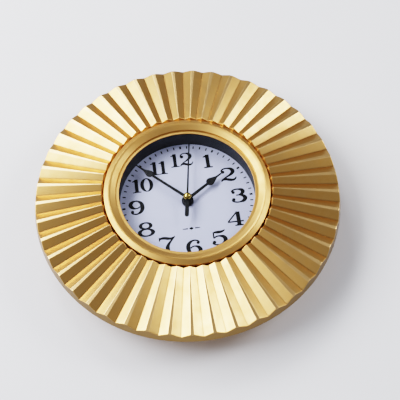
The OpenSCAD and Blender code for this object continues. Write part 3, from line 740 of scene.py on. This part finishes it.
# A nine is a six turned half round.
sixWidth = 0.885
digitForms["9"] = {
    "advance": digitForms["6"]["advance"],
    "dots": [(sixWidth - x, 1 - y, r) for x, y, r in digitForms["6"]["dots"]],
    "strokes": [[(sixWidth - x, 1 - y, w) for x, y, w in s] for s in digitForms["6"]["strokes"]],
}


# Smooth line through the marks of a stroke (x, y, width).
def smoothLine(marks, steps):
    if len(marks) == 2:
        return [Vector(m) for m in marks]
    ends = [Vector(m) for m in marks]
    ends = [2 * ends[0] - ends[1]] + ends + [2 * ends[-1] - ends[-2]]
    line = []
    for a, b, c, d in zip(ends, ends[1:], ends[2:], ends[3:]):
        for k in range(steps):
            t = k / steps
            line.append(0.5 * (2 * b + (c - a) * t + (2 * a - 5 * b + 4 * c - d) * t * t
                               + (3 * b - a - 3 * c + d) * t ** 3))
    return line + [ends[-2]]


# Lays two edges as a strip of ink from z = 0 up to its thickness.
def layInk(shape, left, right, height, closed=False):
    rows = [[shape.verts.new((p.x, p.y, z)) for p, z in ((l, 0), (l, height), (r, height), (r, 0))]
            for l, r in zip(left, right)]
    for near, far in zip(rows, rows[1:] + (rows[:1] if closed else [])):
        for j in range(4):
            shape.faces.new((near[j], near[(j + 1) % 4], far[(j + 1) % 4], far[j]))
    if not closed:
        shape.faces.new(rows[0])
        shape.faces.new(rows[-1][::-1])


def inkRing(shape, middle, half, thick, thin, height, sides=40):
    left, right = [], []
    for k in range(sides):
        a = 2 * math.pi * k / sides
        way = Vector((math.cos(a), math.sin(a)))
        pen = Vector((thick / 2 * way.x, thin / 2 * way.y))
        place = middle + Vector((half[0] * way.x, half[1] * way.y))
        left.append(place + pen)
        right.append(place - pen)
    layInk(shape, left, right, height, closed=True)


def inkDisc(shape, middle, radius, height, sides=24):
    angles = [2 * math.pi * k / sides for k in range(sides)]
    disc = [middle + radius * Vector((math.cos(a), math.sin(a))) for a in angles]
    low = [shape.verts.new((p.x, p.y, 0)) for p in disc]
    high = [shape.verts.new((p.x, p.y, height)) for p in disc]
    shape.faces.new(low[::-1])
    shape.faces.new(high)
    for k in range(sides):
        n = (k + 1) % sides
        shape.faces.new((low[k], low[n], high[n], high[k]))


# Draws a number with its middle at a point; each mark is a hair thicker than the last.
def drawNumber(shape, text, middle):
    size = numerals["height"]
    widen = numerals["pairWidth"]
    if len(text) == 1:
        widen = numerals["narrowWidth" if text in "14" else "singleWidth"]
    extra = numerals["penExtra"][len(text)]
    breadth = sum(digitForms[d]["advance"] for d in text) * size * widen
    pen = Vector((middle[0] - breadth / 2, middle[1] - size / 2))
    ink = numerals["inkMm"]
    for digit in text:
        form = digitForms[digit]
        for marks in form.get("strokes", []):
            line = [Vector((p.x * widen, p.y, p.z * numerals["penScale"] + extra))
                    for p in smoothLine(marks, numerals["penSteps"])]
            left, right = [], []
            for i, p in enumerate(line):
                way = line[min(i + 1, len(line) - 1)] - line[max(i - 1, 0)]
                way = Vector((way.x, way.y)).normalized()
                aside = Vector((-way.y, way.x)) * p.z / 2
                at = Vector((p.x, p.y))
                left.append(pen + (at + aside) * size)
                right.append(pen + (at - aside) * size)
            ink += numerals["inkStepMm"]
            layInk(shape, left, right, ink)
        for x, y, radius in form.get("dots", []):
            ink += numerals["inkStepMm"]
            inkDisc(shape, pen + Vector((x * widen, y)) * size, radius * size * numerals["penScale"], ink)
        for x, y, halfX, halfY, thick, thin in form.get("bowls", []):
            ink += numerals["inkStepMm"]
            inkRing(shape, pen + Vector((x * widen, y)) * size, (halfX * widen * size, halfY * size),
                    (thick * numerals["penScale"] + extra) * size,
                    (thin * numerals["penScale"] + extra) * size, ink)
        pen.x += form["advance"] * size * widen


for hour in range(1, 13):
    text = str(hour)
    a = math.radians(30 * hour)
    ringR = numerals["pairRing"] if len(text) == 2 else numerals["ring"]
    number = bmesh.new()
    drawNumber(number, text, (ringR * math.sin(a), ringR * math.cos(a)))
    keepShape("numeral" + text, number, ["screenPrintInk"], "clock")

# Minute marks: one small bar, repeated round the dial, wider on every fifth.
minuteMarks = {"count": 60, "middle": 52.9, "length": 2.6, "width": 1.0, "fifthWidth": 1.6, "inkMm": 0.03}
bar = bmesh.new()
lengthHalf, widthHalf = minuteMarks["length"] / 2, minuteMarks["width"] / 2
layInk(bar, [Vector((-widthHalf, minuteMarks["middle"] + s * lengthHalf)) for s in (-1, 1)],
       [Vector((widthHalf, minuteMarks["middle"] + s * lengthHalf)) for s in (-1, 1)], minuteMarks["inkMm"])
bmesh.ops.recalc_face_normals(bar, faces=bar.faces)
barMesh = bpy.data.meshes.new("minuteBar")
bar.to_mesh(barMesh)
bar.free()
marksMesh = growMesh("minuteMarks", barMesh, ringTree, {
    "Count": minuteMarks["count"], "Turn": 0.0, "Accent every": 5, "Accent width": minuteMarks["fifthWidth"],
    "Merge distance": 0.0001, "Finish": finishes["screenPrintInk"]})
keepMesh("minuteMarks", marksMesh, clockPlace, ["screenPrintInk"], "clock")

# Small ornament under the hands: a lozenge between two tapering lines.
ornament = {
    "y": -25.2,
    "lozenge": (2.0, 1.4),
    "lozengeTip": 0.03,
    "lineFrom": 2.9,
    "lineTo": 7.1,
    "lineWidth": 1.1,
    "tipWidth": 0.6,
    "inkMm": 0.03,
}
motif = bmesh.new()
centre = Vector((0, ornament["y"]))
lozX, lozY = ornament["lozenge"]
tip = ornament["lozengeTip"]


def layMotif(upper):
    lower = [(x, -y) for x, y in upper]
    layInk(motif, *([centre + Vector(p) for p in edge] for edge in (upper, lower)), ornament["inkMm"])


for part in (-1, 1):
    layMotif([(part * ornament["lineFrom"], ornament["lineWidth"] / 2),
              (part * ornament["lineTo"], ornament["tipWidth"] / 2)])
layMotif([(-lozX, tip), (0, lozY), (lozX, tip)])
keepShape("dialOrnament", motif, ["screenPrintInk"], "clock")
print("dial printed")


# A copy of a CAD node with its sharp edges eased, which stands for the node.
def easeNode(node, name, dress, ease, softAngle=32):
    shape = bmesh.new()
    shape.from_mesh(cadNodes[node].data)
    bmesh.ops.remove_doubles(shape, verts=shape.verts, dist=1e-6)
    bmesh.ops.dissolve_limit(shape, angle_limit=math.radians(0.6), verts=shape.verts, edges=shape.edges)
    mesh = bpy.data.meshes.new(name)
    shape.to_mesh(mesh)
    shape.free()
    maker = bpy.data.objects.new(name + "Maker", mesh)
    bpy.context.scene.collection.objects.link(maker)
    easing = maker.modifiers.new("ease", "BEVEL")
    easing.width = ease * mm
    easing.segments = 2
    easing.limit_method = "ANGLE"
    easing.angle_limit = math.radians(35)
    easing.use_clamp_overlap = True
    maker.data = bakeModifiers(maker)
    smoothShade(maker.data, softAngle)
    flatten = maker.modifiers.new("flatten", "WEIGHTED_NORMAL")
    flatten.keep_sharp = True
    eased = bakeModifiers(maker)
    eased.name = name
    bpy.data.objects.remove(maker)
    return keepMesh(name, eased, Matrix.Identity(4), dress, bodyOf[node], [node], softAngle)


# Stamped hands, the nut that clamps the dial, and the turned cap on the second hand.
handEase = {
    "hour_hand": ("hourHand", 0.10),
    "minute_hand": ("minuteHand", 0.10),
    "second_hand": ("secondHand", 0.08),
}
for node, (name, ease) in handEase.items():
    easeNode(node, name, ["stovedBlackEnamel"], ease)
easeNode("post_nut", "postNut", ["stovedBlackEnamel"], 0.15)

cap = {"flange": 0.45, "neck": 0.18, "bore": 0.5, "shank": 1.2, "doming": 0.75, "steps": 64}
capFoot, capTop = levels("hand_cap")
capR = reach("hand_cap")
domeFoot = capTop - capR * cap["doming"] + 0.02
button = bmesh.new()
dome = [(capR * math.cos(math.radians(a)), domeFoot + capR * cap["doming"] * math.sin(math.radians(a)), 0)
        for a in range(0, 91, 6)]
turnOutline(button, roundOff([
    (cap["bore"], capFoot, 0), (cap["shank"], capFoot, 0.1), (cap["shank"], domeFoot - cap["flange"], 0),
    (capR - 0.15, domeFoot - cap["flange"], 0.12), (capR - 0.05, domeFoot - cap["neck"], 0.05)]
    + dome[1:-1] + [(0.02, capTop, 0), (0.02, capTop - 0.6, 0), (cap["bore"], capTop - 0.7, 0)]),
    cap["steps"])
keepShape("handCap", button, ["polishedBrass"], "seconds", ["hand_cap"], softAngle=40)
print("hands eased")

# Back of the clock: pan, movement, screws and cell.
easedNodes = {
    "rear_pan": ("rearPan", "grainedBlackPolypropylene", "black_plastic", 0.35),
    "movement_case": ("movementCase", "satinBlackAbs", "black_plastic", 0.15),
    "movement_cover": ("movementCover", "grainedBlackPolypropylene", "black_plastic", 0.2),
    "pan_screws": ("panScrews", "brightZincPlate", "zinc_steel", 0.12),
    "rubber_washer": ("rubberWasher", "mouldedRubber", "black_rubber", 0.2),
    "set_knob": ("setKnob", "naturalAcetal", "ivory_plastic", 0.12),
    "positive_contact": ("positiveContact", "rolledNickelStrip", "nickel_spring", 0.06),
    "negative_contact": ("negativeContact", "rolledNickelStrip", "nickel_spring", 0.06),
    "circuit_board": ("circuitBoard", "greenSolderMask", "board_green", 0.08),
    "coil_bobbin": ("coilBobbin", "naturalAcetal", "ivory_plastic", 0.1),
}
for node, (name, finish, slot, ease) in easedNodes.items():
    easeNode(node, name, [finish], ease)

# Ribs that stiffen the pan, between the movement and its rolled edge.
panRibs = {"count": 12, "from": 43.0, "to": 80.4, "width": 1.2, "height": 1.2, "sink": 0.3}
panBack = levels("rubber_washer")[1]
rib = bmesh.new()
ribFoot, ribTop = panBack + panRibs["sink"], panBack - panRibs["height"]
ribSection = [(-panRibs["width"] / 2, ribFoot), (-panRibs["width"] / 4, ribTop),
              (panRibs["width"] / 4, ribTop), (panRibs["width"] / 2, ribFoot)]
ends = [[rib.verts.new((x, y, z)) for x, z in ribSection] for y in (panRibs["from"], panRibs["to"])]
rib.faces.new(ends[0])
rib.faces.new(ends[1][::-1])
for j in range(4):
    rib.faces.new((ends[0][j], ends[0][(j + 1) % 4], ends[1][(j + 1) % 4], ends[1][j]))
bmesh.ops.recalc_face_normals(rib, faces=rib.faces)
ribMesh = bpy.data.meshes.new("rib")
rib.to_mesh(ribMesh)
rib.free()
ribsMesh = growMesh("panRibs", ribMesh, ringTree, {
    "Count": panRibs["count"], "Turn": 0.0, "Accent every": 1, "Accent width": 1.0,
    "Merge distance": 0.0001, "Finish": finishes["grainedBlackPolypropylene"]})
keepMesh("panRibs", ribsMesh, clockPlace, ["grainedBlackPolypropylene"], "clock")

# Dry cell: can with rolled ends, printed sleeve with one pale band, and its cap.
cell = {
    "bandFrom": 33.0,
    "bandTo": 41.0,
    "bandEdge": 0.05,
    "cap": 2.6,
    "capRise": 1.1,
    "rollWidth": 1.25,
    "recess": 0.35,
    "bareWidth": 1.2,
    "steps": 64,
}
cellLow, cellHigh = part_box("battery")
cellR = (cellHigh.z - cellLow.z) / 2 / mm
cellLength = (cellHigh.x - cellLow.x) / mm
bodyEnd = cellLength - cell["capRise"]
cellPlace = (Matrix.Translation((cellLow.x, (cellLow.y + cellHigh.y) / 2, (cellLow.z + cellHigh.z) / 2))
             @ Matrix.Rotation(math.radians(90), 4, "Y") @ Matrix.Scale(mm, 4))


def cellFinish(r, z):
    if r < cellR - cell["bareWidth"]:
        return 2
    return 1 if cell["bandFrom"] < z < cell["bandTo"] else 0


dryCell = bmesh.new()
turnOutline(dryCell, roundOff([
    (0, cell["recess"], 0), (cellR - 2.4, cell["recess"], 0.2), (cellR - 2.0, 0.0, 0.15),
    (cellR - cell["rollWidth"], 0.0, 0.2), (cellR, cell["recess"], 0.35),
    (cellR, cell["bandFrom"], 0), (cellR, cell["bandFrom"] + cell["bandEdge"], 0),
    (cellR, cell["bandTo"], 0), (cellR, cell["bandTo"] + cell["bandEdge"], 0),
    (cellR, bodyEnd, 0.45), (cellR - cell["rollWidth"], bodyEnd, 0.2),
    (cellR - 1.7, bodyEnd - cell["recess"], 0.2), (cell["cap"], bodyEnd - cell["recess"], 0.15),
    (cell["cap"], cellLength, 0.35), (0, cellLength, 0)]), cell["steps"], finishOf=cellFinish)
keepShape("dryCell", dryCell, ["printedShrinkSleeve", "paleSleeveBand", "drawnNickelCan"], "clock",
          ["battery"], place=cellPlace)

# The works inside the case keep their CAD shapes.
worksFinish = {
    "dial_plate": "paintedDialSheet",
    "timing_chip": "resinDrop",
    "quartz_crystal": "drawnNickelCan",
    "coil_winding": "enamelledCopperWire",
    "coil_core": "annealedIron",
    "motor_stator": "annealedIron",
    "rotor_magnet": "sinteredFerrite",
    "rotor_pinion": "naturalAcetal",
    "step_wheel": "naturalAcetal",
    "seconds_wheel": "naturalAcetal",
    "third_wheel": "naturalAcetal",
    "centre_wheel": "naturalAcetal",
    "minute_tube": "polishedBrass",
    "motion_wheel": "naturalAcetal",
    "hour_wheel": "satinBlackAbs",
}

# Enamelled copper wire wound on the bobbin: turns lie side by side along its length, with painted shade in
# the grooves between them.
winding = {"wireMm": 0.35, "colour": "#B4652D", "grooveShadeColour": "#6E3513"}
wireFinish = makeFinish("enamelledCopperWire", {
    "colour": winding["colour"], "patch": "#A4551F", "patchMm": 2.0, "grainMm": 0.5, "grainDepthMm": 0.003,
    "rough": (0.25, 0.35), "shader": {"Metallic": 1.0, "Coat Weight": 0.5, "Coat Roughness": 0.15}})
tree = wireFinish.node_tree
shader = tree.nodes["Principled BSDF"]
place = addNode(tree, "ShaderNodeTexCoord").outputs["Object"]
turns = addNode(tree, "ShaderNodeTexWave", {
    "Vector": place, "Scale": 1 / (winding["wireMm"] * mm * 20), "Distortion": 0.0}, bands_direction="Z")
# painted shade: the colour darkens in the grooves between turns
grooveShaded = addNode(tree, "ShaderNodeMix", {
    0: turns.outputs[1], 6: toLinear(winding["grooveShadeColour"]),
    7: shader.inputs["Base Color"].links[0].from_socket}, data_type="RGBA")
tree.links.new(grooveShaded.outputs[2], shader.inputs["Base Color"])
ridges = addNode(tree, "ShaderNodeBump", {"Height": turns.outputs[1], "Distance": 0.1 * mm, "Strength": 1.0})
tree.links.new(ridges.outputs[0], shader.inputs["Normal"])
finishes["enamelledCopperWire"] = wireFinish
for node, finish in worksFinish.items():
    for holder in cadNodes[node].material_slots:
        holder.material = finishes[finish]
print("back and works finished")
